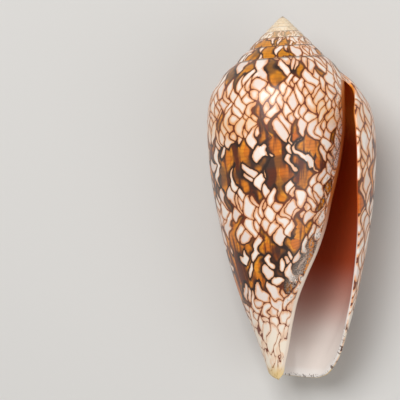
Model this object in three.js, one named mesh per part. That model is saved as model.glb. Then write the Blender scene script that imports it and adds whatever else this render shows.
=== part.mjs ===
// A textile cone shell, 90 mm long, lying on its back with its mouth up and its spire towards +Y.
// One closed body: the spire, the body whorl, the lip and the spiral hollow behind the mouth.
// Millimetres, +Z up. Angles are in degrees round the shell's axis, from +X (the lip's side) towards
// +Z (the mouth's side), which is the way the shell grew. Heights are measured down from the apex.

import * as THREE from "three";

// Size and growth
const LENGTH = 90;
const GROWTH_PER_TURN = 1.38;
const SPIRE_TURNS = 8;
const APEX_ROUNDING = 0.3;
const FULL_LIP_ANGLE = 42;

// The whorl's section where it ends at the lip: distance below the apex, distance from the axis
const SUTURE = [14.6, 14.3];
const SECTION = [
  SUTURE,
  [16.0, 16.2],
  [17.8, 18.0],
  [SUTURE[0] * GROWTH_PER_TURN, SUTURE[1] * GROWTH_PER_TURN],
  [23.0, 21.6],
  [27.0, 22.8],
  [33.0, 23.3],
  [40.0, 23.1],
  [48.0, 22.4],
  [56.0, 21.2],
  [64.0, 19.6],
  [72.0, 17.8],
  [80.0, 15.5],
  [88.0, 12.8],
  [95.0, 9.9],
  [102.0, 7.5],
  [108.0, 5.4],
  [113.0, 3.7],
  [119.0, 2.2],
];

// The mouth: its outer lip and its inner edge, as height and angle
const LIP_EDGE = [
  [SUTURE[0], 20],
  [18.4, 21],
  [22.5, 37],
  [26.0, 42],
  [40.0, 42],
  [48.0, 39.5],
  [58.0, 34],
  [70.0, 28],
  [78.0, 24],
  [82.0, 15],
  [85.0, 8],
  [87.0, 0],
  [89.0, -11],
  [LENGTH, -30],
];
const INNER_EDGE = [
  [16.6, 20],
  [20.0, 28],
  [28.0, 29],
  [33.0, 31],
  [38.0, 34],
  [42.0, 37],
  [46.0, 40],
  [52.0, 42.5],
  [55.5, 46],
  [59.0, 51],
  [62.4, 58],
  [66.0, 65],
  [70.0, 72],
  [76.0, 80],
  [82.0, 90],
  [85.8, 106],
  [88.3, 120],
  [LENGTH, 150],
];
// The open front end, as angle and height, from the columella's tip round the back to the lip's corner
const FRONT_RIM = [
  [-210, LENGTH],
  [-190, 89.5],
  [-165, 88.7],
  [-140, 88.5],
  [-100, 89.2],
  [-60, 89.9],
  [-30, LENGTH],
];

// The hollow
const MOUTH_TOP = 16.6;
const ROOF_START = 18.4;
const LIP_THICKNESS = 0.9;
const WALL_THICKNESS = 1.9;
const THICKENS_WITHIN_ANGLE = 25;
const THICKENS_WITHIN_HEIGHT = 8;
const CORE_UNDERCUT = 0.3;
const CORE_CLEARANCE_AT_MOUTH = 1.0;
const CORE_CLEARANCE_BEHIND = 2.0;
const CORE_THINS_WITHIN_ANGLE = 200;
const COLUMELLA_SHIFT = -3.0;
const COLUMELLA_SHIFT_FROM = 60;
const COLUMELLA_SHIFT_TO = 90;
const COLUMELLA_TIP_RADIUS = 0.6;
const COLUMELLA_RADIUS = 2.3;
// Where the hollow ends behind the mouth, as height and angle
const HOLLOW_END = [
  [12.0, -290],
  [40.0, -285],
  [60.0, -250],
  [70.0, -200],
  [79.0, -150],
  [86.0, -130],
  [LENGTH, -120],
];

// How it lies: nose down, rolled on its back, and flattened a little where it rests
const REST_PITCH = 4.939;
const REST_ROLL = 10.555;
const REST_FLAT_DEPTH = 0.4;

// Fineness
const COLUMNS_PER_TURN = 36;
const SPIRE_ROWS = 3;
const HOLLOW_ROWS = 20;
const HOLLOW_COLUMNS = 26;
const ROUND_CORE_SHARE = 0.8;
const ROW_CROWDING = 1.3;
const SLOPE_STEP = 0.2;

const FULL_TURN = 360;
const radians = THREE.MathUtils.degToRad;
const mix = THREE.MathUtils.lerp;
const ease = THREE.MathUtils.smoothstep;

// A smooth function through points of [x, y], level beyond its ends.
function through(points) {
  const slope = (i) => {
    const a = points[Math.max(i - 1, 0)];
    const b = points[Math.min(i + 1, points.length - 1)];
    return (b[1] - a[1]) / (b[0] - a[0]);
  };
  return (x) => {
    if (x <= points[0][0]) return points[0][1];
    const next = points.findIndex((p) => p[0] >= x);
    if (next < 0) return points.at(-1)[1];
    const [x0, y0] = points[next - 1];
    const [x1, y1] = points[next];
    const span = x1 - x0;
    const t = (x - x0) / span;
    const bend0 = slope(next - 1) * span;
    const bend1 = slope(next) * span;
    const t2 = t * t;
    const t3 = t2 * t;
    return (
      y0 * (2 * t3 - 3 * t2 + 1) + bend0 * (t3 - 2 * t2 + t) + y1 * (3 * t2 - 2 * t3) + bend1 * (t3 - t2)
    );
  };
}

const sectionRadius = through(SECTION);
const lipEdge = through(LIP_EDGE);
const innerEdge = through(INNER_EDGE);
const frontRim = through(FRONT_RIM);
const hollowEnd = through(HOLLOW_END);

// Turn is the growth angle: 0 where the lip reaches furthest, and less the older the shell is.
const growth = (turn) => GROWTH_PER_TURN ** (turn / FULL_TURN);
const angleOf = (turn) => turn + FULL_LIP_ANGLE;
const turnOf = (angle) => angle - FULL_LIP_ANGLE;

function outerRadius(turn, height) {
  const scale = growth(turn);
  return scale * sectionRadius(height / scale);
}

function place(angle, radius, height) {
  return new THREE.Vector3(radius * Math.cos(radians(angle)), -height, radius * Math.sin(radians(angle)));
}

const outerPoint = (turn, height) => place(angleOf(turn), outerRadius(turn, height), height);

// Heights of the suture, and of the line on a whorl that the next whorl's suture covers
const sutureHeight = (turn) => SUTURE[0] * growth(turn);
const coveredHeight = (turn) => SUTURE[0] * GROWTH_PER_TURN * growth(turn);

// Rows run down the shell. The first ones cover what every whorl shows, and the rest only the body whorl.
const LAST_ROW = SPIRE_ROWS + 1 + HOLLOW_ROWS;
const crowded = (share) => 1 - (1 - share) ** ROW_CROWDING;

// The turn by which the top of the lip stays behind the lip's furthest reach
const TOP_SETBACK = turnOf(LIP_EDGE[0][1]);
const MOUTH_TOP_TURN = TOP_SETBACK - FULL_TURN;
const FIRST_SHARE =
  (MOUTH_TOP - coveredHeight(MOUTH_TOP_TURN)) / (LENGTH - coveredHeight(MOUTH_TOP_TURN));

// Where a row lies on the body whorl, as a share of the way from the covered line to the front rim
function rowShare(row) {
  return mix(FIRST_SHARE, 1, crowded((row - SPIRE_ROWS - 1) / HOLLOW_ROWS));
}

function rowHeight(turn, row) {
  if (row <= SPIRE_ROWS) return mix(sutureHeight(turn), coveredHeight(turn), row / SPIRE_ROWS);
  return mix(coveredHeight(turn), frontRim(angleOf(turn)), rowShare(row));
}

// The turns at which a row of the body whorl starts, at the mouth's inner edge, and ends, at the lip
function rowStart(row) {
  if (row <= SPIRE_ROWS) return -FULL_TURN + (TOP_SETBACK * row) / SPIRE_ROWS;
  const height = mix(coveredHeight(MOUTH_TOP_TURN), LENGTH, rowShare(row));
  return turnOf(innerEdge(height)) - FULL_TURN;
}
function rowEnd(row) {
  const height = row <= SPIRE_ROWS ? rowHeight(0, row) : mix(coveredHeight(0), LENGTH, rowShare(row));
  return turnOf(lipEdge(height));
}

// The turn of a point of the outside, from its row and its age in whole turns
function turnAt(age, row) {
  if (age <= 1) return mix(rowEnd(row), rowStart(row), age);
  if (age <= 2) return mix(rowStart(row), -2 * FULL_TURN, age - 1);
  return -age * FULL_TURN;
}

const triangles = [];
function addTriangle(a, b, c) {
  if (a !== b && b !== c && c !== a) triangles.push(a, b, c);
}

// Covers a grid of lines that run down the shell and follow each other the way it grew.
function addGrid(lines) {
  for (let i = 0; i + 1 < lines.length; i++) {
    const rows = Math.min(lines[i].length, lines[i + 1].length);
    for (let j = 0; j + 1 < rows; j++) {
      addTriangle(lines[i][j], lines[i + 1][j + 1], lines[i][j + 1]);
      addTriangle(lines[i][j], lines[i + 1][j], lines[i + 1][j + 1]);
    }
  }
}

// Joins two lines that start and end side by side, each time over the shorter way across.
function addSeam(first, second) {
  let i = 0;
  let j = 0;
  while (i + 1 < first.length || j + 1 < second.length) {
    const overFirst = i + 1 < first.length ? first[i + 1].distanceTo(second[j]) : Infinity;
    const overSecond = j + 1 < second.length ? first[i].distanceTo(second[j + 1]) : Infinity;
    if (overFirst <= overSecond) {
      addTriangle(first[i], second[j], first[i + 1]);
      i += 1;
    } else {
      addTriangle(first[i], second[j], second[j + 1]);
      j += 1;
    }
  }
}

// The outside: each line is a step of growth. A whorl starts on the line that it covers of the whorl before.
function outside() {
  const lines = [];
  const steps = (SPIRE_TURNS + 1) * COLUMNS_PER_TURN;
  for (let step = 0; step <= steps; step++) {
    const age = (steps - step) / COLUMNS_PER_TURN;
    const line = [];
    for (let row = 0; row <= (age <= 1 ? LAST_ROW : SPIRE_ROWS); row++) {
      const turn = turnAt(age, row);
      const covered = row === 0 && lines[step - COLUMNS_PER_TURN];
      line.push(covered ? covered[SPIRE_ROWS] : outerPoint(turn, rowHeight(turn, row)));
    }
    lines.push(line);
  }
  return lines;
}

// A point of the outer wall's inner face, under the outside point at this turn and height
function wallPoint(turn, height, lipTurn) {
  const run = 2 * SLOPE_STEP;
  const slope = (outerRadius(turn, height + SLOPE_STEP) - outerRadius(turn, height - SLOPE_STEP)) / run;
  const length = Math.hypot(1, slope);
  const rim = frontRim(angleOf(turn));
  const deep = ease(lipTurn - turn, 0, THICKENS_WITHIN_ANGLE) * ease(rim - height, 0, THICKENS_WITHIN_HEIGHT);
  const thickness = mix(LIP_THICKNESS, WALL_THICKNESS, deep);
  return place(
    angleOf(turn),
    outerRadius(turn, height) - thickness / length,
    height + (thickness * slope) / length,
  );
}

// The core that the hollow winds round: a cone in the middle, and the columella at the front
function coreCentre(height) {
  return COLUMELLA_SHIFT * ease(height, COLUMELLA_SHIFT_FROM, COLUMELLA_SHIFT_TO);
}
function coreRadius(turn, height) {
  const edge = innerEdge(height);
  const edgeX = outerRadius(turnOf(edge) - FULL_TURN, height) * Math.cos(radians(edge));
  const cone = edgeX - coreCentre(height) - CORE_UNDERCUT;
  const behind = ease(-turn, 0, CORE_THINS_WITHIN_ANGLE);
  const clearance = mix(CORE_CLEARANCE_AT_MOUTH, CORE_CLEARANCE_BEHIND, behind);
  const whorlBefore = outerRadius(turn - FULL_TURN, height) - clearance;
  const columella = Math.min(COLUMELLA_RADIUS, Math.max(cone, COLUMELLA_TIP_RADIUS));
  return Math.max(Math.min(cone, whorlBefore), columella);
}
function corePoint(angle, height) {
  const radius = coreRadius(turnOf(angle), height);
  return place(angle, radius, height).add(new THREE.Vector3(coreCentre(height), 0, 0));
}

// The hollow: lines run back along the wall from the lip, and forward along the core to the inner edge.
function hollow(innerEdgeLine) {
  const lines = Array.from({ length: 2 * HOLLOW_COLUMNS + 2 }, () => []);
  for (let row = 0; row <= HOLLOW_ROWS; row++) {
    const share = crowded(Math.max(row - 1, 0) / (HOLLOW_ROWS - 1));
    const lipTurn = row ? turnOf(lipEdge(mix(ROOF_START, LENGTH, share))) : TOP_SETBACK;
    const endAngle = hollowEnd(row ? mix(ROOF_START, LENGTH, share) : MOUTH_TOP);
    for (let column = 0; column <= HOLLOW_COLUMNS; column++) {
      const turn = mix(lipTurn, turnOf(endAngle), column / HOLLOW_COLUMNS);
      const roof = MOUTH_TOP * growth(turn - TOP_SETBACK);
      const height = mix(ROOF_START * growth(turn), frontRim(angleOf(turn)), share);
      const top = place(angleOf(turn), outerRadius(turn - FULL_TURN, roof), roof);
      lines[column].push(row ? wallPoint(turn, height, lipTurn) : top);
    }
    if (row === 0) lines[0][0] = innerEdgeLine[0];
    const start = lines[HOLLOW_COLUMNS][row];
    const end = innerEdgeLine[row];
    for (let column = 0; column <= HOLLOW_COLUMNS; column++) {
      const along = column / HOLLOW_COLUMNS;
      const height = -mix(start.y, end.y, along);
      const angle = mix(endAngle, 0, Math.min(along / ROUND_CORE_SHARE, 1));
      const flat = Math.max(along - ROUND_CORE_SHARE, 0) / (1 - ROUND_CORE_SHARE);
      const point = corePoint(angle, height).lerp(new THREE.Vector3(end.x, -height, end.z), flat);
      if (row === 0) lines[2 * HOLLOW_COLUMNS + 1 - column][0] = lines[column][0];
      else lines[HOLLOW_COLUMNS + 1 + column].push(flat === 1 ? end : point);
    }
  }
  return lines;
}

function shellGeometry() {
  const outer = outside();
  const firstBodyLine = outer.length - 1 - COLUMNS_PER_TURN;
  const inner = hollow(outer[firstBodyLine].slice(SPIRE_ROWS + 1));
  addGrid(outer);
  addGrid(inner);
  addSeam(outer.at(-1), inner[0]);
  const rimOutside = outer.slice(firstBodyLine).map((line) => line[LAST_ROW]);
  const rimInside = inner.map((line) => line[HOLLOW_ROWS]);
  addSeam(rimOutside.reverse(), rimInside);

  const apex = new THREE.Vector3(0, -APEX_ROUNDING, 0);
  for (let step = 0; step < COLUMNS_PER_TURN; step++) addTriangle(apex, outer[step + 1][0], outer[step][0]);
  for (let row = 0; row < SPIRE_ROWS; row++) addTriangle(apex, outer[0][row], outer[0][row + 1]);

  return new THREE.BufferGeometry().setFromPoints(triangles);
}

// Lays the shell down, with the origin on the surface that it lies on, below the middle of the shell.
function layDown(geometry) {
  geometry.applyMatrix4(
    new THREE.Matrix4().makeRotationFromEuler(new THREE.Euler(radians(REST_PITCH), radians(REST_ROLL), 0)),
  );
  geometry.computeBoundingBox();
  const middle = geometry.boundingBox.getCenter(new THREE.Vector3());
  geometry.translate(-middle.x, -middle.y, -geometry.boundingBox.min.z - REST_FLAT_DEPTH);
  const points = geometry.getAttribute("position");
  for (let i = 0; i < points.count; i++) points.setZ(i, Math.max(points.getZ(i), 0));
  geometry.computeVertexNormals();
  return geometry;
}

const glaze = new THREE.MeshStandardMaterial({ color: 0xc9a58a, roughness: 0.3, metalness: 0 });
const shell = new THREE.Mesh(layDown(shellGeometry()), glaze);
shell.name = "cone_shell";

const coneShell = new THREE.Group();
coneShell.add(shell);

export default coneShell;
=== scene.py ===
"""The looks of a textile cone shell, as a Blender add-on: the shell with its tent pattern, and a plain studio.

The shell is built again as a fine mesh from the same growth rules as the solid. Rules are in millimetres and
degrees, as the shell is described; the scene is in metres. A point of the shell has a turn, which is how far
the shell had grown (0 at the lip, -1 one whorl before), and a height, measured down the axis from the apex.
"""

import math
from typing import NamedTuple

import bpy
import numpy as np
from bpy.props import FloatProperty, FloatVectorProperty, IntProperty, PointerProperty
from mathutils import Matrix, Vector


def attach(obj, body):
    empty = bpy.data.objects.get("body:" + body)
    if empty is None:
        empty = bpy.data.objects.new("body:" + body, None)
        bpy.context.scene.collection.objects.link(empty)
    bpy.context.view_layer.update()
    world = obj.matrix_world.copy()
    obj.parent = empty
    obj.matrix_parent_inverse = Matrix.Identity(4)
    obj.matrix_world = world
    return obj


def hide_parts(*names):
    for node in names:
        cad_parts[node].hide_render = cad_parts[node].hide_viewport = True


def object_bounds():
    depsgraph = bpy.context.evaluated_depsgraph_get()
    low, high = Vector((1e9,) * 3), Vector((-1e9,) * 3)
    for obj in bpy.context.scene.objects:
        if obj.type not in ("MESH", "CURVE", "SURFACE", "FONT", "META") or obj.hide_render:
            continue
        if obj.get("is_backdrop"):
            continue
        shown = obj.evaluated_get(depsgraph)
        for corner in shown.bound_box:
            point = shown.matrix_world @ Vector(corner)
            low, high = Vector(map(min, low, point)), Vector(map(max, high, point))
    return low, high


bl_info = {
    "name": "Textile cone shell",
    "version": (1, 0, 0),
    "blender": (4, 5, 0),
    "location": "3D View > Sidebar > Cone shell",
    "description": "Builds a textile cone shell and the studio that it lies in",
    "category": "Add Mesh",
}

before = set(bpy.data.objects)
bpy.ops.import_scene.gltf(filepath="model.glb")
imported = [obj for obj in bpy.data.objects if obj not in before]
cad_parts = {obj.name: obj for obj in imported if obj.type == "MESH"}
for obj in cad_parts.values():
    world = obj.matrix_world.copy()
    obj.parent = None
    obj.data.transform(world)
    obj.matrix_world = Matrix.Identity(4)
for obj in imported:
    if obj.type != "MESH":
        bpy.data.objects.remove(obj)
solid_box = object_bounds()

MILLIMETRE = 0.001
NODE = "cone_shell"

# Growth, as in the solid
LENGTH = 90.0
GROWTH_PER_TURN = 1.38
SPIRE_TURNS = 8
APEX_ROUNDING = 0.3
FULL_LIP_ANGLE = 42.0
SUTURE = (14.6, 14.3)
COVERED = (SUTURE[0] * GROWTH_PER_TURN, SUTURE[1] * GROWTH_PER_TURN)

# The whorl's section where it ends at the lip: distance below the apex, distance from the axis
SECTION = (
    SUTURE, (16.0, 16.2), (17.8, 18.0), COVERED, (23.0, 21.6), (27.0, 22.8), (33.0, 23.3),
    (40.0, 23.1), (48.0, 22.4), (56.0, 21.2), (64.0, 19.6), (72.0, 17.8), (80.0, 15.5),
    (88.0, 12.8), (95.0, 9.9), (102.0, 7.5), (108.0, 5.4), (113.0, 3.7), (119.0, 2.2),
)
# The mouth's outer lip, its inner edge, the open front end and the hollow's end behind the mouth
LIP_EDGE = (
    (SUTURE[0], 20), (18.4, 21), (22.5, 37), (26.0, 42), (40.0, 42), (48.0, 39.5), (58.0, 34),
    (70.0, 28), (78.0, 24), (82.0, 15), (85.0, 8), (87.0, 0), (89.0, -11), (LENGTH, -30),
)
INNER_EDGE = (
    (16.6, 20), (20.0, 28), (28.0, 29), (33.0, 31), (38.0, 34), (42.0, 37), (46.0, 40),
    (52.0, 42.5), (55.5, 46), (59.0, 51), (62.4, 58), (66.0, 65), (70.0, 72), (76.0, 80),
    (82.0, 90), (85.8, 106), (88.3, 120), (LENGTH, 150),
)
FRONT_RIM = (
    (-210, LENGTH), (-190, 89.5), (-165, 88.7), (-140, 88.5), (-100, 89.2), (-60, 89.9), (-30, LENGTH),
)
HOLLOW_END = ((12, -290), (40, -285), (60, -250), (70, -200), (79, -150), (86, -130), (LENGTH, -120))
MOUTH_TOP = 16.6
ROOF_START = 18.4
LIP_THICKNESS = 0.9
WALL_THICKNESS = 1.9
THICKENS_WITHIN_ANGLE = 25.0
THICKENS_WITHIN_HEIGHT = 8.0
CORE_UNDERCUT = 0.3
CORE_CLEARANCE_AT_MOUTH = 1.0
CORE_CLEARANCE_BEHIND = 2.0
CORE_THINS_WITHIN_ANGLE = 200.0
COLUMELLA_SHIFT = -3.0
COLUMELLA_SHIFT_FROM = 60.0
COLUMELLA_SHIFT_TO = 90.0
COLUMELLA_TIP_RADIUS = 0.6
COLUMELLA_RADIUS = 2.3

# How it lies, as in the solid
REST_PITCH = 4.939
REST_ROLL = 10.555

# The solid's columns are flat for 10 degrees, so the round surface that they hold is this much narrower
FACET_INSET = math.cos(math.radians(5.0))
LIP_ROUNDING = 0.42

# The fine mesh: rows crowd towards the front end, and columns where the lip is round, as shares of a whorl
# outside and of the hollow inside
ROW_CROWDING = 1.35
STEPS_AT_LIP = (0, 0.0002, 0.0006, 0.0012, 0.002, 0.0032)
STEPS_BEHIND_LIP = (0, 0.0006, 0.0016, 0.003, 0.0052)
SLOPE_STEP = 0.2
CORE_MEETS_EDGE_FROM = 0.8
NEAR_LIP_TURN = -0.5
FAR_AWAY = 99.0

# The map that tells the colours where they are: turns from its oldest one on, and heights as if at the lip
GROWTH_MAP = "growth"
MAP_TURNS = 10.0
MAP_OLDEST_TURN = 9.5
MAP_HEIGHT = 130.0
WIDEST_GIRTH = 150.0

# The photograph: its size, the scale on the shell, and where the axis of the shell with its mouth up starts
# and ends in it
PHOTO_SIZE = 400
MM_PER_PIXEL = 0.2466
APEX_PIXEL = (282.6, 16.0)
FRONT_PIXEL = (288.5, 380.0)
SENSOR_WIDTH = 36.0


def through(points):
    """A smooth function through points of (x, y), level beyond its ends, as in the solid."""
    xs, ys = np.array(points, dtype=float).T
    slopes = np.empty_like(xs)
    slopes[1:-1] = (ys[2:] - ys[:-2]) / (xs[2:] - xs[:-2])
    slopes[0] = (ys[1] - ys[0]) / (xs[1] - xs[0])
    slopes[-1] = (ys[-1] - ys[-2]) / (xs[-1] - xs[-2])

    def value(x):
        x = np.clip(x, xs[0], xs[-1])
        i = np.clip(np.searchsorted(xs, x) - 1, 0, len(xs) - 2)
        span = xs[i + 1] - xs[i]
        t = (x - xs[i]) / span
        return (
            ys[i] * (2 * t**3 - 3 * t**2 + 1)
            + slopes[i] * span * (t**3 - 2 * t**2 + t)
            + ys[i + 1] * (3 * t**2 - 2 * t**3)
            + slopes[i + 1] * span * (t**3 - t**2)
        )

    return value


section_radius = through(SECTION)
lip_edge = through(LIP_EDGE)
inner_edge = through(INNER_EDGE)
front_rim = through(FRONT_RIM)
hollow_end = through(HOLLOW_END)


def mix(a, b, t):
    """From a, at t = 0, to b, at t = 1."""
    return a + (b - a) * t


def ease(x, low, high):
    """0 below low, 1 above high, and smooth between."""
    t = np.clip((x - low) / (high - low), 0, 1)
    return t * t * (3 - 2 * t)


def growth(turn):
    """The shell's size at a turn, against its size at the lip."""
    return GROWTH_PER_TURN**turn


def angle_of(turn):
    """Degrees round the axis, from the lip's side towards the mouth."""
    return turn * 360 + FULL_LIP_ANGLE


def turn_of(angle):
    return (angle - FULL_LIP_ANGLE) / 360


def outer_radius(turn, height):
    """Distance of the outside from the axis."""
    scale = growth(turn)
    return scale * section_radius(height / scale) * FACET_INSET


def place(angle, radius, height):
    """A point of the shell, standing on its front end with its axis along y."""
    return np.array((radius * math.cos(math.radians(angle)), -height, radius * math.sin(math.radians(angle))))


def rounding(distance):
    """How far a face falls back where it nears the rim, so that the lip is round."""
    near = np.clip(LIP_ROUNDING - distance, 0, LIP_ROUNDING)
    return LIP_ROUNDING - math.sqrt(LIP_ROUNDING**2 - near**2)


class ShellBuilder:
    """Collects the shell's vertices, with where each lies on the shell, and its faces."""

    def __init__(self, columns, spire_rows, body_rows, hollow_columns):
        self.columns = columns
        self.spire_rows = spire_rows
        self.body_rows = body_rows
        self.hollow_columns = hollow_columns
        self.points, self.inside, self.to_lip, self.to_edge = [], [], [], []
        self.faces, self.places = [], []
        self.last_row = spire_rows + 1 + body_rows
        self.top_setback = turn_of(LIP_EDGE[0][1])
        self.top_covered = COVERED[0] * growth(self.top_setback - 1)
        self.first_share = (MOUTH_TOP - self.top_covered) / (LENGTH - self.top_covered)
        self.starts = [self.row_start(row) for row in range(self.last_row + 1)]
        self.ends = [self.row_end(row) for row in range(self.last_row + 1)]

    def add_point(self, position, inside, to_lip=FAR_AWAY, to_edge=FAR_AWAY):
        """inside is 0 on the outside and 1 in the hollow; to_lip and to_edge are along the surface."""
        self.points.append(position)
        self.inside.append(inside)
        self.to_lip.append(to_lip)
        self.to_edge.append(to_edge)
        return len(self.points) - 1

    def add_face(self, *corners):
        """corners are (vertex, turn, height). One that repeats its neighbour is left out."""
        kept = [c for i, c in enumerate(corners) if c[0] != corners[i - 1][0]]
        if len({c[0] for c in kept}) >= 3:
            self.faces.append([c[0] for c in kept])
            self.places.append([c[1:] for c in kept])

    def add_grid(self, lines):
        """Faces between neighbouring lines, row by row."""
        for line, after in zip(lines, lines[1:]):
            for j in range(min(len(line), len(after)) - 1):
                self.add_face(line[j], after[j], after[j + 1], line[j + 1])

    def gap(self, a, b):
        return float(np.linalg.norm(self.points[a[0]] - self.points[b[0]]))

    def add_seam(self, first, second):
        """Joins two lines that start and end side by side, each time over the shorter way across."""
        i = j = 0
        while i + 1 < len(first) or j + 1 < len(second):
            over_first = self.gap(first[i + 1], second[j]) if i + 1 < len(first) else math.inf
            over_second = self.gap(first[i], second[j + 1]) if j + 1 < len(second) else math.inf
            if over_first <= over_second:
                self.add_face(first[i], second[j], first[i + 1])
                i += 1
            else:
                self.add_face(first[i], second[j], second[j + 1])
                j += 1

    def crowded(self, share):
        """Rows lie closer together towards the front end."""
        return 1 - (1 - share) ** ROW_CROWDING

    def row_share(self, row):
        """How far a row of the body whorl is down from the covered part to the front end."""
        return mix(self.first_share, 1, self.crowded((row - self.spire_rows - 1) / self.body_rows))

    def row_height(self, turn, row):
        covered = COVERED[0] * growth(turn)
        if row <= self.spire_rows:
            return mix(SUTURE[0] * growth(turn), covered, row / self.spire_rows)
        return mix(covered, float(front_rim(angle_of(turn))), self.row_share(row))

    def row_start(self, row):
        """The turn at which a row of the body whorl starts, at the mouth's inner edge."""
        if row <= self.spire_rows:
            return -1 + self.top_setback * row / self.spire_rows
        return turn_of(float(inner_edge(mix(self.top_covered, LENGTH, self.row_share(row))))) - 1

    def row_end(self, row):
        """The turn at which a row of the body whorl ends, at the lip."""
        if row <= self.spire_rows:
            return turn_of(float(lip_edge(self.row_height(0, row))))
        return turn_of(float(lip_edge(mix(COVERED[0], LENGTH, self.row_share(row)))))

    def turn_at(self, age, row):
        """The turn of a point by its age in whorls, where the two last whorls follow the lip's outline."""
        if age <= 1:
            return mix(self.ends[row], self.starts[row], age)
        if age <= 2:
            return mix(self.starts[row], -2, age - 1)
        return -age

    def ages_in_a_turn(self):
        """Steps of growth within a turn, closer together at the lip, which is round."""
        return [*STEPS_AT_LIP, *(i / self.columns for i in range(1, self.columns))]

    def outside(self):
        """Columns of the outside from the oldest to the lip, and how many of them make a turn."""
        ages = [whorl + age for whorl in range(SPIRE_TURNS + 1) for age in self.ages_in_a_turn()]
        ages = sorted(ages + [SPIRE_TURNS + 1], reverse=True)
        per_turn = len(self.ages_in_a_turn())
        lines = []
        for step, age in enumerate(ages):
            line = []
            for row in range((self.last_row if age <= 1 else self.spire_rows) + 1):
                turn = self.turn_at(age, row)
                height = self.row_height(turn, row)
                if row == 0 and step >= per_turn:
                    vertex = lines[step - per_turn][self.spire_rows][0]
                else:
                    vertex = self.add_point(*self.outer_point(turn, height, row))
                line.append((vertex, turn, height))
            lines.append(line)
        return lines, per_turn

    def outer_point(self, turn, height, row):
        """A point of the outside: its place, 0 for outside, and how far the rim and the inner edge are."""
        radius = float(outer_radius(turn, height))
        to_rim = to_edge = FAR_AWAY
        if row > self.spire_rows or turn > NEAR_LIP_TURN:
            to_lip = (self.ends[row] - turn) * 2 * math.pi * radius
            to_front = float(front_rim(angle_of(turn))) - height
            to_rim = max(min(to_lip, to_front), 0)
            radius -= min(row / self.spire_rows, 1) * rounding(to_rim)
        if row > self.spire_rows:
            to_edge = (turn - self.starts[row]) * 2 * math.pi * radius
        return place(angle_of(turn), radius, height), 0, to_rim, to_edge

    def wall_point(self, turn, height, lip_turn):
        """A point of the outer wall's inner face."""
        below, above = outer_radius(turn, height + SLOPE_STEP), outer_radius(turn, height - SLOPE_STEP)
        slope = float(below - above) / (2 * SLOPE_STEP)
        length = math.hypot(1, slope)
        to_front = float(front_rim(angle_of(turn))) - height
        radius = float(outer_radius(turn, height))
        deep = ease((lip_turn - turn) * 360, 0, THICKENS_WITHIN_ANGLE)
        deep *= ease(to_front, 0, THICKENS_WITHIN_HEIGHT)
        to_lip = (lip_turn - turn) * 2 * math.pi * radius
        to_rim = max(min(to_lip, to_front), 0)
        thickness = mix(LIP_THICKNESS, WALL_THICKNESS, deep) - rounding(to_rim)
        return place(angle_of(turn), radius - thickness / length, height + thickness * slope / length), 1, to_rim

    def core_centre(self, height):
        """How far the columella has moved aside at a height."""
        return COLUMELLA_SHIFT * float(ease(height, COLUMELLA_SHIFT_FROM, COLUMELLA_SHIFT_TO))

    def core_point(self, angle, height):
        """A point of the core that the hollow winds round."""
        turn = turn_of(angle)
        edge = float(inner_edge(height))
        edge_x = float(outer_radius(turn_of(edge) - 1, height)) * math.cos(math.radians(edge))
        cone = edge_x - self.core_centre(height) - CORE_UNDERCUT
        behind = float(ease(-turn * 360, 0, CORE_THINS_WITHIN_ANGLE))
        clearance = mix(CORE_CLEARANCE_AT_MOUTH, CORE_CLEARANCE_BEHIND, behind)
        whorl_before = float(outer_radius(turn - 1, height)) - clearance
        columella = min(COLUMELLA_RADIUS, max(cone, COLUMELLA_TIP_RADIUS))
        radius = max(min(cone, whorl_before), columella)
        return place(angle, radius, height) + np.array((self.core_centre(height), 0, 0))

    def hollow(self, inner_edge_line):
        """Lines run back along the wall from the lip, and forward along the core to the inner edge."""
        last = self.hollow_columns
        along_wall = [*STEPS_BEHIND_LIP, *(i / last for i in range(1, last + 1))]
        wall = [[] for _ in along_wall]
        core = [[] for _ in range(last + 1)]
        for row in range(self.body_rows + 1):
            share = self.crowded(max(row - 1, 0) / (self.body_rows - 1))
            at_lip = mix(ROOF_START, LENGTH, share)
            lip_turn = turn_of(float(lip_edge(at_lip))) if row else self.top_setback
            end_angle = float(hollow_end(at_lip if row else MOUTH_TOP))
            for column, along in enumerate(along_wall):
                turn = mix(lip_turn, turn_of(end_angle), along)
                if row:
                    height = mix(ROOF_START * growth(turn), float(front_rim(angle_of(turn))), share)
                    point = self.wall_point(turn, height, lip_turn)
                else:
                    height = MOUTH_TOP * growth(turn - self.top_setback)
                    point = place(angle_of(turn), float(outer_radius(turn - 1, height)), height), 1
                if row == 0 and column == 0:
                    wall[0].append(inner_edge_line[0])
                else:
                    wall[column].append((self.add_point(*point), turn, height))
            start = self.points[wall[-1][row][0]]
            end = self.points[inner_edge_line[row][0]]
            for column in range(last + 1):
                along = column / last
                height = -mix(start[1], end[1], along)
                angle = mix(end_angle, 0, min(along / CORE_MEETS_EDGE_FROM, 1))
                flat = max(along - CORE_MEETS_EDGE_FROM, 0) / (1 - CORE_MEETS_EDGE_FROM)
                position = mix(self.core_point(angle, height), np.array((end[0], -height, end[2])), flat)
                if row == 0:
                    twin = min(range(len(along_wall)), key=lambda i: abs(along_wall[i] - (1 - along)))
                    core[column].append(wall[twin][0])
                elif column == last:
                    core[column].append((inner_edge_line[row][0], turn_of(angle), height))
                else:
                    core[column].append((self.add_point(position, 1), turn_of(angle), height))
        return wall + core

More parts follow.
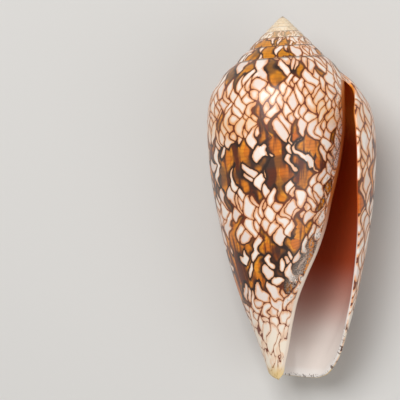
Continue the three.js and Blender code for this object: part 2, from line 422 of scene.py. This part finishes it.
    def build(self):
        """The outside, the hollow, the seams that join them at the lip and the front, and the apex."""
        outer, per_turn = self.outside()
        first_body = len(outer) - 1 - per_turn
        inner = self.hollow(outer[first_body][self.spire_rows + 1:])
        self.add_grid(outer)
        self.add_grid(inner)
        self.add_seam(outer[-1], inner[0])
        rim_outside = [line[self.last_row] for line in outer[first_body:]]
        self.add_seam(rim_outside[::-1], [line[self.body_rows] for line in inner])
        apex = (self.add_point(np.array((0, -APEX_ROUNDING, 0)), 0), -SPIRE_TURNS - 1, APEX_ROUNDING)
        for step in range(per_turn):
            self.add_face(apex, outer[step + 1][0], outer[step][0])
        for row in range(self.spire_rows):
            self.add_face(apex, outer[0][row], outer[0][row + 1])


def resting():
    """The rotation that lays the shell on its back."""
    return Matrix.Rotation(math.radians(REST_PITCH), 3, "X") @ Matrix.Rotation(math.radians(REST_ROLL), 3, "Y")


def solid_tip():
    """The tip of the solid's spire, as it lies."""
    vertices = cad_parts[NODE].data.vertices
    solid = np.empty(len(vertices) * 3)
    vertices.foreach_get("co", solid)
    solid = solid.reshape(-1, 3)
    return solid[solid[:, 1].argmax()]


def lay_down(points):
    """Shell points in millimetres to where the solid lies, in metres."""
    rotation = np.array(resting())
    laid = np.array(points) @ rotation.T * MILLIMETRE
    laid += solid_tip() - rotation @ np.array((0, -APEX_ROUNDING, 0)) * MILLIMETRE
    laid[:, 2] = np.maximum(laid[:, 2], 0)
    return laid


class Field:
    """A number, colour or direction that varies over a surface, as an output of a material's nodes."""

    def __init__(self, shader, socket):
        self.shader = shader
        self.socket = socket

    def __add__(self, other):
        return self.shader.math("ADD", self, other)

    __radd__ = __add__

    def __sub__(self, other):
        return self.shader.math("SUBTRACT", self, other)

    def __rsub__(self, other):
        return self.shader.math("SUBTRACT", other, self)

    def __mul__(self, other):
        return self.shader.math("MULTIPLY", self, other)

    __rmul__ = __mul__

    def __truediv__(self, other):
        return self.shader.math("DIVIDE", self, other)

    def __gt__(self, other):
        return self.shader.math("GREATER_THAN", self, other)

    def __lt__(self, other):
        return self.shader.math("LESS_THAN", self, other)

    def __neg__(self):
        return self.shader.math("MULTIPLY", self, -1.0)

    def __abs__(self):
        return self.shader.math("ABSOLUTE", self)


class Shader:
    """Writes a material's nodes from Python expressions."""

    def __init__(self, name):
        self.material = bpy.data.materials.new(name)
        self.material.use_nodes = True
        self.tree = self.material.node_tree
        self.tree.nodes.clear()

    def plug(self, socket, value):
        if isinstance(value, Field):
            self.tree.links.new(value.socket, socket)
        else:
            socket.default_value = value

    def node(self, kind, settings=None, inputs=None, output=0):
        """Adds a node, sets it, then plugs its inputs by name or place. Gives one output, or all for None."""
        node = self.tree.nodes.new(kind)
        for name, value in (settings or {}).items():
            if name == "curve":
                self.draw_curve(node.mapping, value)
            else:
                setattr(node, name, value)
        for key, value in (inputs or {}).items():
            self.plug(node.inputs[key], value)
        fields = [Field(self, socket) for socket in node.outputs]
        return fields if output is None else fields[output]

    def draw_curve(self, mapping, points):
        """Draws a curve, which starts with two points, through points of (x, y)."""
        curve = mapping.curves[0]
        for i, point in enumerate(points):
            if i < len(curve.points):
                curve.points[i].location = point
            else:
                curve.points.new(*point)
        mapping.update()

    def math(self, operation, *values):
        return self.node("ShaderNodeMath", {"operation": operation}, dict(enumerate(values)))

    def blend(self, factor, first, second):
        """A number between two, by a factor from 0 to 1."""
        settings = {"data_type": "FLOAT", "clamp_factor": False}
        return self.node("ShaderNodeMix", settings, {"Factor": factor, "A": first, "B": second})

    def colour(self, factor, first, second):
        """A colour between two, by a factor from 0 to 1."""
        return self.node("ShaderNodeMix", {"data_type": "RGBA"}, {0: factor, 6: first, 7: second}, output=2)

    def ramp(self, value, low, high):
        """0 at low, 1 at high, smooth between and level beyond. It falls where low is the higher one."""
        limits = {"From Min": low, "From Max": high, "To Min": 0.0, "To Max": 1.0}
        return self.node("ShaderNodeMapRange", {"interpolation_type": "SMOOTHSTEP"}, {"Value": value, **limits})

    def vector(self, x, y, z=0.0):
        return self.node("ShaderNodeCombineXYZ", inputs={"X": x, "Y": y, "Z": z})

    def parts(self, vector):
        return self.node("ShaderNodeSeparateXYZ", inputs={0: vector}, output=None)

    def noise(self, vector, kind, output=0):
        """Soft noise of a kind, which is (scale, detail)."""
        inputs = {"Vector": vector, "Scale": kind[0], "Detail": kind[1]}
        return self.node("ShaderNodeTexNoise", inputs=inputs, output=output)

    def attribute(self, name):
        return self.node("ShaderNodeAttribute", {"attribute_name": name}, output=2)

    def finish(self, surface):
        """Puts a surface on the material, which is then ready."""
        self.node("ShaderNodeOutputMaterial", inputs={"Surface": surface}, output=None)
        return self.material


def linear(red, green, blue):
    """A colour as the photograph shows it, 0 to 255, as the light that a surface gives back."""
    return tuple((c / 255) ** 2.2 for c in (red, green, blue)) + (1.0,)


class Coat(NamedTuple):
    """A colour laid over another, from where a number begins to have it to where it has it in full."""

    begins: float
    full: float
    strength: float
    colour: tuple


class ShellColours:
    """The shell's pattern and glaze: tents on the outside, a stained throat inside.

    Sizes and heights in the pattern are in millimetres as if at the lip. Depths are millimetres below the
    apex as they are. Noises are given by their scale and detail, and other pairs of numbers are where
    something begins and where it is full.
    """

    # A tent's tip: how far it strays from an even grid, and how blunt it is
    STRAY = 0.8
    BLUNTNESS = 2.0
    # How steeply a tent's two sides fall back from its tip, and how that varies
    SLOPE = 1.3
    LEAST_SLOPE = 0.85
    SLOPE_SPREAD = 0.3
    CORNER_ROUNDING = 1.2
    ROW_SHIFT = 7.31
    # Rows of tents above and below a point, and the tents of each, from the point on, that can cover it
    REACH = ((-2, (1, 2)), (-1, (0, 1, 2)), (0, (0, 1, 2)), (1, (0, 1, 2)), (2, (1, 2)))
    FAR = 1000.0
    SAME_TIP = 1e-5
    # The share of tents that are brown at most, and the throw of the dice from which they are open
    MOST_BROWN = 0.62
    OPEN_FROM = 0.84
    IS_BROWN = (0.4, 0.6)
    # Outlines between two open tents are moved out of sight, and between two brown ones nearly so
    MOVED = 3.2
    MOVED_LESS_FOR_BROWN = 2.0
    # The girth beyond the section's ends, against that at them
    GIRTH_AT_APEX = 0.9
    GIRTH_AT_FRONT = 0.8

    # Brown bands: middle, half width and strength, and the little brown between them
    BANDS = ((18.5, 2.6, 0.5), (48.0, 8.5, 1.0), (79.0, 7.5, 1.0))
    BETWEEN_BANDS = 0.04
    PATCHES_PER_TURN = 2.06
    FIRST_PATCH = 0.74
    BETWEEN_PATCHES = 0.3
    PATCH_EDGE = (-0.95, -0.35)
    BROWN_ZONE = (0.15, 0.55)

    # The drum that the noise runs over, and how far it rises with each turn
    DRUM_RADIUS = 18.0
    DRUM_RISE = 11.0
    GRAIN = (1.5, 2.0)
    CLOUDS = (0.10, 2.0)
    # Wavering of the outlines: a noise, and how far it moves them
    WARP = ((0.16, 1.0), 4.0)
    SHIVER = ((0.55, 1.0), 0.6)

    # Plain tents
    SHADE = Coat(0.2, 0.9, 1.0, linear(240, 222, 212))
    PEACH = Coat(0.36, 0.6, 0.8, linear(242, 200, 156))
    PEACH_BAND = (33.0, 8.0)
    CREAM = Coat(68.0, 82.0, 1.0, linear(250, 236, 216))
    HALO = Coat(1.05, 0.25, 1.0, linear(236, 146, 52))
    HALO_STRENGTH = 0.8
    HALO_FADES_BY = 0.45
    HALO_FADES = (68.0, 80.0)

    # Brown tents
    DEEP_ORANGE = linear(206, 104, 22)
    STREAKS = (0.40, 3.0)
    STREAK_LENGTHENING = 0.16
    STREAK_EDGE = (0.43, 0.60)
    SPIRE_GOLD = Coat(26.0, 19.0, 0.8, linear(222, 140, 22))
    STRIPE = Coat(-0.2, 1.0, 0.15, linear(66, 26, 12))
    STRIPE_SPACING = 1.25
    STRIPE_WAVER = 5.0
    DARK_EDGE = Coat(1.2, 0.4, 0.85, linear(62, 36, 24))
    GREY_CLOUD = Coat(0.52, 0.66, 0.7, linear(58, 46, 38))

    # Outlines and sutures
    LINE_WIDTH = 0.155
    LINE_THICKENS_BY = 0.14
    LINE_THINS_BY = 0.02
    LINE_THINS = (66.0, 78.0)
    LINE_RAGGEDNESS = 0.35
    LINE_EDGE = (0.10, -0.06)
    SPARSE = (70.0, 80.0)
    SPARSE_PATCHES = (0.3, 1.0)
    SPARSE_EDGE = (0.52, 0.58)
    SPARSE_STRENGTH = 0.8
    DARK_OUTLINE = linear(50, 28, 16)
    OLD_WHORLS = (-2.2, -5.5)
    OLD_OUTLINE = Coat(*OLD_WHORLS, 0.8, linear(170, 104, 30))
    OLD_CREAM = Coat(*OLD_WHORLS, 0.75, linear(244, 226, 192))
    SUTURE_LINE = Coat(SUTURE[0] + 0.75, SUTURE[0] + 0.25, 1.0, linear(92, 60, 34))
    SUTURE_STRENGTH = 0.75
    SUTURE_PALES_BY = 0.35

    # The worn strip beside the mouth, its smooth edge and the columella's tip
    SPECKS = (5.0, 1.0)
    DARK_SPECK = linear(58, 48, 46)
    LIGHT_SPECK = Coat(0.42, 0.58, 1.0, linear(206, 186, 170))
    WORN_STRIP = (6.5, 2.5)
    WORN_PATCHES = (0.50, 0.66)
    WORN_MORE_IN_BROWN = 0.25
    WORN_DOWN_TO = (74.0, 66.0)
    WORN_STRENGTH = 0.9
    TAN = linear(192, 114, 58)
    PALE_TAN = Coat(44.0, 60.0, 1.0, linear(236, 218, 200))
    SMOOTH_EDGE = (2.4, 1.9)
    SMOOTH_EDGE_NARROWS = 0.017
    TIP_YELLOW = Coat(85.5, 88.5, 0.8, linear(232, 200, 132))

    # The throat, from below its orange top down, its white lip, and the dark ticks along the front rim
    THROAT = (
        Coat(22.0, 33.0, 1.0, linear(204, 88, 40)), Coat(44.0, 60.0, 1.0, linear(196, 92, 56)),
        Coat(60.0, 73.0, 1.0, linear(214, 172, 158)), Coat(70.0, 80.0, 1.0, linear(238, 228, 220)),
    )
    WHITE_LIP = Coat(2.4, 1.2, 0.9, linear(242, 236, 230))
    WHITE_LIP_FROM = (48.0, 58.0)
    WALL_EDGE = (0.35, 0.65)
    TICK = Coat(0.8, 0.4, 0.85, linear(84, 50, 34))
    TICK_GRAIN = (0.56, 0.62)
    TICKS_FROM = (74.0, 80.0)

    GROWTH_LINES = (0.5, 3.0)
    GROWTH_LINES_CROWDING = 6.0
    GROWTH_LINES_LENGTHENING = 0.3
    BUMP_STRENGTH = 0.25
    BUMP_DISTANCE = 0.0001
    ROUGHNESS = 0.34
    ROUGHNESS_SPREAD = 0.15
    IOR = 1.55
    COAT_WEIGHT = 0.1
    COAT_ROUGHNESS = 0.15

    def __init__(self, chosen):
        self.chosen = chosen
        self.tent_width = chosen.tent_width / MILLIMETRE
        self.tent_height = chosen.tent_height / MILLIMETRE
        s = self.s = Shader("shell")
        turn_share, height_share, _ = s.parts(s.node("ShaderNodeUVMap", {"uv_map": GROWTH_MAP}))
        self.turn = turn_share * MAP_TURNS - MAP_OLDEST_TURN
        self.height = height_share * MAP_HEIGHT
        self.inside, self.depth = s.attribute("inside"), s.attribute("height")
        self.girth = s.attribute("girth")
        self.to_edge, self.to_lip = s.attribute("to_edge"), s.attribute("to_lip")

        # Noise runs over a drum of the shell's size, so that it isn't sheared where the shell narrows.
        angle = self.turn * (2 * math.pi)
        self.around = s.math("COSINE", angle) * self.DRUM_RADIUS
        self.across = s.math("SINE", angle) * self.DRUM_RADIUS
        self.along = self.height + self.turn * self.DRUM_RISE
        self.drum = s.vector(self.around, self.across, self.along)
        self.grain = s.noise(self.drum, self.GRAIN)
        self.clouds = s.noise(self.drum, self.CLOUDS)

    def lay(self, under, coat, value, share=1.0):
        """Lays a coat over a colour by a number, and no thicker than a share of it."""
        mask = self.s.ramp(value, coat.begins, coat.full) * coat.strength * share
        return self.s.colour(mask, under, coat.colour)

    def girth_at(self, height):
        """Distance round the shell for one turn at a height, both as if at the lip."""
        rows = SECTION[::2] + (SECTION[-1],)
        points = [(row / MAP_HEIGHT, 2 * math.pi * radius / WIDEST_GIRTH) for row, radius in rows]
        above, below = (0.0, points[0][1] * self.GIRTH_AT_APEX), (1.0, points[-1][1] * self.GIRTH_AT_FRONT)
        points = sorted({above, *points[:-1], below})
        return self.s.node("ShaderNodeFloatCurve", {"curve": points}, {"Value": height / MAP_HEIGHT}) * WIDEST_GIRTH

    def hump(self, value, middle, width):
        """1 in the middle, falling off smoothly on both sides."""
        off = (value - middle) / width
        return self.s.math("EXPONENT", -(off * off))

    def brownness(self, height):
        """How likely a tent is to be brown at a height."""
        total = self.BETWEEN_BANDS
        for middle, width, strength in self.BANDS:
            total = self.hump(height, middle, width) * strength + total
        return total

    def patchiness(self, turn):
        """The bands come in patches round the shell."""
        wave = self.s.math("COSINE", (turn + self.FIRST_PATCH) * (2 * math.pi * self.PATCHES_PER_TURN))
        return self.BETWEEN_PATCHES + (1 - self.BETWEEN_PATCHES) * self.s.ramp(wave, *self.PATCH_EDGE)

    def tents_near(self, turn, height):
        """The tents that can cover a point: how far each reaches past it, and its tip, kind and tone.

        A tent is the area behind its tip, and the one with the oldest tip covers the others. Its kind is 1
        for brown, -1 for open and 0 for plain.
        """
        s = self.s
        girth = self.girth_at(height)
        first_row = s.math("FLOOR", height / self.tent_height)
        tents = []
        for above, columns in self.REACH:
            row = first_row + float(above)
            middle = (row + 0.5) * self.tent_height
            per_turn = self.girth_at(middle) / self.tent_width
            shift = s.node("ShaderNodeTexWhiteNoise", {"noise_dimensions": "1D"}, {"W": row * self.ROW_SHIFT})
            first = s.math("FLOOR", turn * per_turn + shift - (0.5 + 0.5 * self.STRAY))
            brownness = self.brownness(middle)
            for column in columns:
                number = first + float(column)
                aside, up, kind_dice = s.parts(s.node(
                    "ShaderNodeTexWhiteNoise", {"noise_dimensions": "2D"}, {"Vector": s.vector(number, row)}, output=1
                ))
                tip = (number - shift + (1 - 0.5 * self.STRAY) + self.STRAY * aside) / per_turn
                tip_row = row + (0.5 - 0.5 * self.STRAY) + self.STRAY * up
                down = height - tip_row * self.tent_height
                flank = s.math("SQRT", down * down + self.BLUNTNESS**2) - self.BLUNTNESS
                slope = (self.LEAST_SLOPE + self.SLOPE_SPREAD * up) * self.SLOPE
                chance = s.math("MINIMUM", brownness * self.patchiness(tip), self.MOST_BROWN)
                kind = (chance > kind_dice) - (kind_dice > self.OPEN_FROM)
                tents.append(((tip - turn) * girth - slope * flank, tip, kind, aside))
        return tents

    def topmost(self, tents, start, under=None):
        """The tip, kind and tone, as many as start gives, of the tent on top, or of the one under a tip."""
        top = start
        for cover, *tent in tents:
            here = (cover > 0.0) * (tent[0] < top[0])
            if under is not None:
                here = here * (tent[0] > under)
            top = [self.s.blend(here, kept, new) for kept, new in zip(top, tent)]
        return top

    def tents(self, turn, height):
        """Overlapping tents: distance to the nearest outline, and the kind and tone of the tent on top."""
        s = self.s
        tents = self.tents_near(turn, height)
        own_tip, own_kind, own_tone = self.topmost(tents, (self.FAR, 0.0, 0.0))
        just_under = own_tip + self.SAME_TIP
        _, next_kind = self.topmost(tents, (self.FAR, 0.0), under=just_under)
        moved = self.MOVED - self.MOVED_LESS_FOR_BROWN * own_kind
        nearest = self.FAR
        for cover, tip, kind, _ in tents:
            own = s.math("COMPARE", tip, own_tip, self.SAME_TIP)
            same = s.math("MAXIMUM", s.blend(own, kind, next_kind) * own_kind, 0.0)
            distance = abs(cover) + same * moved + (tip > just_under) * self.FAR
            nearest = s.math("SMOOTH_MIN", distance, nearest, self.CORNER_ROUNDING)
        return nearest, own_kind, own_tone

    def wavering(self):
        """The turn and the height, moved about so that the outlines waver."""
        aside = up = 0.0
        for noise, reach in (self.WARP, self.SHIVER):
            moves = self.s.parts(self.s.noise(self.drum, noise, output=1))
            aside = (moves[0] - 0.5) * reach + aside
            up = (moves[1] - 0.5) * reach + up
        return self.turn + aside / self.girth, self.height + up

    def plain_tents(self, outline, tone):
        """White, with peach clouds, cream at the front end, and a soft orange edge."""
        ground = self.lay(self.chosen.white, self.SHADE, tone)
        ground = self.lay(ground, self.PEACH, self.clouds, self.hump(self.height, *self.PEACH_BAND))
        ground = self.lay(ground, self.CREAM, self.depth)
        halo = self.HALO_STRENGTH - self.HALO_FADES_BY * self.s.ramp(self.depth, *self.HALO_FADES)
        return self.lay(ground, self.HALO, outline, halo)

    def brown_tents(self, outline, tone):
        """Orange, with dark streaks along the shell, fine spiral stripes, dark edges and grey clouds."""
        s = self.s
        fill = s.colour(tone, self.chosen.orange, self.DEEP_ORANGE)
        drawn_out = s.vector(self.around, self.across, self.along * self.STREAK_LENGTHENING)
        streaks = s.ramp(s.noise(drawn_out, self.STREAKS), *self.STREAK_EDGE)
        fill = s.colour(streaks, fill, self.chosen.streaks)
        fill = self.lay(fill, self.SPIRE_GOLD, self.height)
        waved = self.height + (self.clouds - 0.5) * self.STRIPE_WAVER
        fill = self.lay(fill, self.STRIPE, s.math("SINE", waved * (2 * math.pi / self.STRIPE_SPACING)))
        fill = self.lay(fill, self.DARK_EDGE, outline)
        return self.lay(fill, self.GREY_CLOUD, self.clouds)

    def outlined(self, outside, outline, zone):
        """Outlines, thicker and darker among the brown tents, sparser at the front and paler on old whorls."""
        s = self.s
        width = self.LINE_WIDTH + self.LINE_THICKENS_BY * zone + (self.grain - 0.5) * self.LINE_RAGGEDNESS
        width = width - self.LINE_THINS_BY * s.ramp(self.depth, *self.LINE_THINS)
        line = s.ramp(outline - width, *self.LINE_EDGE)
        patches = s.ramp(s.noise(self.drum, self.SPARSE_PATCHES), *self.SPARSE_EDGE)
        line = line * (1.0 - self.SPARSE_STRENGTH * s.ramp(self.depth, *self.SPARSE) * patches)
        ink = s.colour(zone, self.chosen.outline, self.DARK_OUTLINE)
        outside = s.colour(line, outside, self.lay(ink, self.OLD_OUTLINE, self.turn))
        outside = self.lay(outside, self.OLD_CREAM, self.turn)
        strength = self.SUTURE_STRENGTH - self.SUTURE_PALES_BY * s.ramp(self.turn, *self.OLD_WHORLS)
        return self.lay(outside, self.SUTURE_LINE, self.height, strength)

    def worn(self, outside, zone):
        """The worn strip beside the mouth: speckled, then a smooth tan edge that pales towards the front."""
        s = self.s
        speckle = self.lay(self.DARK_SPECK, self.LIGHT_SPECK, s.noise(self.drum, self.SPECKS))
        patches = s.ramp(self.grain + zone * self.WORN_MORE_IN_BROWN, *self.WORN_PATCHES)
        strip = s.ramp(self.to_edge, *self.WORN_STRIP) * patches * s.ramp(self.depth, *self.WORN_DOWN_TO)
        outside = s.colour(strip * self.WORN_STRENGTH, outside, speckle)
        edge = s.ramp(self.to_edge + self.depth * self.SMOOTH_EDGE_NARROWS, *self.SMOOTH_EDGE)
        outside = s.colour(edge, outside, self.lay(self.TAN, self.PALE_TAN, self.depth))
        return self.lay(outside, self.TIP_YELLOW, self.depth)

    def throat(self):
        """The mouth's stain, from orange at its top through dark red brown to cream, and a white lip."""
        colour = self.chosen.throat
        for coat in self.THROAT:
            colour = self.lay(colour, coat, self.depth)
        return self.lay(colour, self.WHITE_LIP, self.to_lip, self.s.ramp(self.depth, *self.WHITE_LIP_FROM))

    def relief(self):
        """Fine lines of growth along the shell."""
        s = self.s
        crowding, lengthening = self.GROWTH_LINES_CROWDING, self.GROWTH_LINES_LENGTHENING
        lines = s.vector(self.around * crowding, self.across * crowding, self.height * lengthening)
        return s.node("ShaderNodeBump", inputs={
            "Strength": self.BUMP_STRENGTH, "Distance": self.BUMP_DISTANCE,
            "Height": s.noise(lines, self.GROWTH_LINES),
        })

    def build(self):
        """The finished material."""
        s = self.s
        turn, height = self.wavering()
        outline, kind, tone = self.tents(turn, height)
        brown = s.ramp(kind, *self.IS_BROWN)
        zone = s.ramp(self.brownness(height) * self.patchiness(self.turn), *self.BROWN_ZONE)
        outside = s.colour(brown, self.plain_tents(outline, tone), self.brown_tents(outline, tone))
        outside = self.worn(self.outlined(outside, outline, zone), zone)
        base = s.colour(s.ramp(self.inside, *self.WALL_EDGE), outside, self.throat())
        ticks = s.ramp(self.grain, *self.TICK_GRAIN) * s.ramp(self.depth, *self.TICKS_FROM)
        base = self.lay(base, self.TICK, self.to_lip, ticks)
        return s.finish(s.node("ShaderNodeBsdfPrincipled", inputs={
            "Base Color": base, "Roughness": self.ROUGHNESS + (self.grain - 0.5) * self.ROUGHNESS_SPREAD,
            "Normal": self.relief(), "IOR": self.IOR,
            "Coat Weight": self.COAT_WEIGHT, "Coat Roughness": self.COAT_ROUGHNESS,
        }))


def colour_property(name, description, default):
    return FloatVectorProperty(
        name=name, description=description, default=default, size=4, min=0.0, max=1.0, subtype="COLOR"
    )


def length_property(name, description, default, least):
    return FloatProperty(
        name=name, description=description, default=default, min=least, subtype="DISTANCE", unit="LENGTH"
    )


def power_property(name, description, default):
    return FloatProperty(name=name, description=description, default=default, min=0.0, unit="POWER")


class ConeShellSettings(bpy.types.PropertyGroup):
    """How finely the shell is built, and its pattern's sizes and colours"""

    columns: IntProperty(name="Columns", description="Steps of growth in one whorl", default=144, min=36)
    spire_rows: IntProperty(name="Spire rows", description="Rows on each whorl of the spire", default=7, min=3)
    body_rows: IntProperty(name="Body rows", description="Rows down the body whorl", default=110, min=20)
    hollow_columns: IntProperty(
        name="Hollow columns", description="Steps back into the hollow", default=80, min=20
    )
    tent_width: length_property("Tent width", "From tip to tip round the shell", 4.0 * MILLIMETRE, MILLIMETRE)
    tent_height: length_property("Tent height", "From row to row of tents", 2.6 * MILLIMETRE, MILLIMETRE)
    white: colour_property("White", "Plain tents", linear(250, 240, 230))
    orange: colour_property("Orange", "Brown tents at their brightest", linear(242, 150, 36))
    streaks: colour_property("Streaks", "Dark streaks in the brown tents", linear(96, 42, 14))
    outline: colour_property("Outline", "Outlines of the plain tents", linear(116, 50, 16))
    throat: colour_property("Throat", "Top of the mouth", linear(255, 164, 66))


class StudioSettings(bpy.types.PropertyGroup):
    """The studio round the shell"""

    distance: length_property("Camera distance", "From the camera to the shell", 0.548, 0.1)
    key_power: power_property("Key light", "Power of the main soft light", 2.8)
    fill_power: power_property("Fill light", "Power of the soft light opposite", 0.9)
    floor_colour: colour_property("Floor", "Colour of the floor", (0.66, 0.65, 0.63, 1.0))


class CONESHELL_OT_shell(bpy.types.Operator):
    """Build the shell, from its growth rules, in place of the solid"""

    bl_idname = "coneshell.shell"
    bl_label = "Build the shell"

    def execute(self, context):
        chosen = context.scene.cone_shell
        builder = ShellBuilder(chosen.columns, chosen.spire_rows, chosen.body_rows, chosen.hollow_columns)
        builder.build()
        mesh = bpy.data.meshes.new("shell")
        mesh.from_pydata(lay_down(builder.points).tolist(), [], [face[::-1] for face in builder.faces])
        self.add_growth_map(mesh, builder)
        self.add_attributes(mesh, builder)
        mesh.polygons.foreach_set("use_smooth", [True] * len(mesh.polygons))
        mesh.materials.append(ShellColours(chosen).build())
        if mesh.validate():
            raise RuntimeError("The shell's mesh has faulty faces")
        shell = bpy.data.objects.new("shell", mesh)
        context.scene.collection.objects.link(shell)
        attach(shell, "root")
        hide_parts(NODE)
        return {"FINISHED"}

    def add_growth_map(self, mesh, builder):
        """Where each corner lies on the shell: its turn, and its height as if at the lip, from 0 to 1."""
        places = np.array([place for face in builder.places for place in face[::-1]], dtype=float)
        turns, heights = places[:, 0], places[:, 1] / growth(places[:, 0])
        shares = np.stack(((turns + MAP_OLDEST_TURN) / MAP_TURNS, heights / MAP_HEIGHT), axis=1)
        mesh.uv_layers.new(name=GROWTH_MAP).data.foreach_set("uv", shares.astype(np.float32).ravel())

    def add_attributes(self, mesh, builder):
        """Numbers of each vertex that the colours read."""
        points = np.array(builder.points)
        fields = {
            "inside": builder.inside, "height": -points[:, 1],
            "girth": 2 * math.pi * np.hypot(points[:, 0], points[:, 2]),
            "to_lip": builder.to_lip, "to_edge": builder.to_edge,
        }
        for name, values in fields.items():
            attribute = mesh.attributes.new(name, "FLOAT", "POINT")
            attribute.data.foreach_set("value", np.array(values, dtype=np.float32))


class CONESHELL_OT_studio(bpy.types.Operator):
    """Add the floor, the soft lights and the camera above the shell"""

    bl_idname = "coneshell.studio"
    bl_label = "Build the studio"

    FLOOR_HALF = 3.0
    FLOOR_ROUGHNESS = 0.85
    AIR_COLOUR = (1.0, 0.98, 0.96, 1.0)
    AIR_STRENGTH = 0.36
    # Where the lamps hang, and how wide they are
    KEY = ((-0.10, 0.22, 0.60), 0.35)
    FILL = ((0.45, -0.20, 0.45), 0.45)

    def execute(self, context):
        studio = context.scene.cone_shell_studio
        context.scene.view_settings.view_transform = "Standard"
        self.add_floor(context, studio)
        self.add_air(context)
        self.add_lamp(context, "key", studio.key_power, *self.KEY)
        self.add_lamp(context, "fill", studio.fill_power, *self.FILL)
        self.add_camera(context, studio)
        return {"FINISHED"}

    def add_floor(self, context, studio):
        half = self.FLOOR_HALF
        corners = [(-half, -half, 0), (half, -half, 0), (half, half, 0), (-half, half, 0)]
        mesh = bpy.data.meshes.new("floor")
        mesh.from_pydata(corners, [], [(0, 1, 2, 3)])
        paint = Shader("floor")
        surface = {"Base Color": studio.floor_colour, "Roughness": self.FLOOR_ROUGHNESS}
        mesh.materials.append(paint.finish(paint.node("ShaderNodeBsdfPrincipled", inputs=surface)))
        floor = bpy.data.objects.new("floor", mesh)
        context.scene.collection.objects.link(floor)
        floor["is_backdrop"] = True

    def add_air(self, context):
        """The even light from all round."""
        world = bpy.data.worlds.new("studio")
        context.scene.world = world
        world.use_nodes = True
        background = world.node_tree.nodes["Background"]
        background.inputs["Color"].default_value = self.AIR_COLOUR
        background.inputs["Strength"].default_value = self.AIR_STRENGTH

    def add_lamp(self, context, name, power, position, size):
        lamp = bpy.data.lights.new(name, "AREA")
        lamp.energy = power
        lamp.size = size
        light = bpy.data.objects.new(name, lamp)
        light.location = position
        light.rotation_euler = (-Vector(position)).to_track_quat("-Z", "Y").to_euler()
        context.scene.collection.objects.link(light)

    def add_camera(self, context, studio):
        """Looks down on the shell as the photograph does, and frames it in the same place."""
        turned = resting()
        towards = turned @ Vector((0, 0, 1))
        lean = math.atan2(APEX_PIXEL[0] - FRONT_PIXEL[0], FRONT_PIXEL[1] - APEX_PIXEL[1])
        up = Matrix.Rotation(lean, 3, towards) @ (turned @ Vector((0, 1, 0)))
        right = up.cross(towards)
        middle = PHOTO_SIZE / 2
        down_axis = (middle - APEX_PIXEL[1]) * MM_PER_PIXEL
        along = (middle - APEX_PIXEL[1]) / (FRONT_PIXEL[1] - APEX_PIXEL[1])
        aside = (mix(APEX_PIXEL[0], FRONT_PIXEL[0], along) - middle) * MM_PER_PIXEL
        target = Vector(solid_tip()) + turned @ Vector((0, -down_axis * MILLIMETRE, 0)) - right * aside * MILLIMETRE
        lens = bpy.data.cameras.new("camera")
        lens.sensor_width = SENSOR_WIDTH
        lens.lens = SENSOR_WIDTH * studio.distance / (PHOTO_SIZE * MM_PER_PIXEL * MILLIMETRE)
        camera = bpy.data.objects.new("camera", lens)
        rotation = Matrix((right, up, towards)).transposed().to_4x4()
        camera.matrix_world = Matrix.Translation(target + towards * studio.distance) @ rotation
        context.scene.collection.objects.link(camera)
        context.scene.camera = camera


class CONESHELL_PT_panel(bpy.types.Panel):
    """The shell's operators and settings"""

    bl_idname = "CONESHELL_PT_panel"
    bl_label = "Cone shell"
    bl_space_type = "VIEW_3D"
    bl_region_type = "UI"
    bl_category = "Cone shell"

    def draw(self, context):
        groups = (
            (CONESHELL_OT_shell, context.scene.cone_shell),
            (CONESHELL_OT_studio, context.scene.cone_shell_studio),
        )
        for step, group in groups:
            self.layout.operator(step.bl_idname)
            for name in group.__annotations__:
                self.layout.prop(group, name)


CLASSES = (ConeShellSettings, StudioSettings, CONESHELL_OT_shell, CONESHELL_OT_studio, CONESHELL_PT_panel)


def register():
    for cls in CLASSES:
        bpy.utils.register_class(cls)
    bpy.types.Scene.cone_shell = PointerProperty(type=ConeShellSettings)
    bpy.types.Scene.cone_shell_studio = PointerProperty(type=StudioSettings)


def unregister():
    del bpy.types.Scene.cone_shell_studio
    del bpy.types.Scene.cone_shell
    for cls in reversed(CLASSES):
        bpy.utils.unregister_class(cls)


def main():
    register()
    bpy.ops.coneshell.shell()
    bpy.ops.coneshell.studio()
    boxes = {"cad": solid_box, "visual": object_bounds()}
    boxes = {name: [[float(c) for c in corner] for corner in box] for name, box in boxes.items()}


if __name__ == "__main__":
    main()
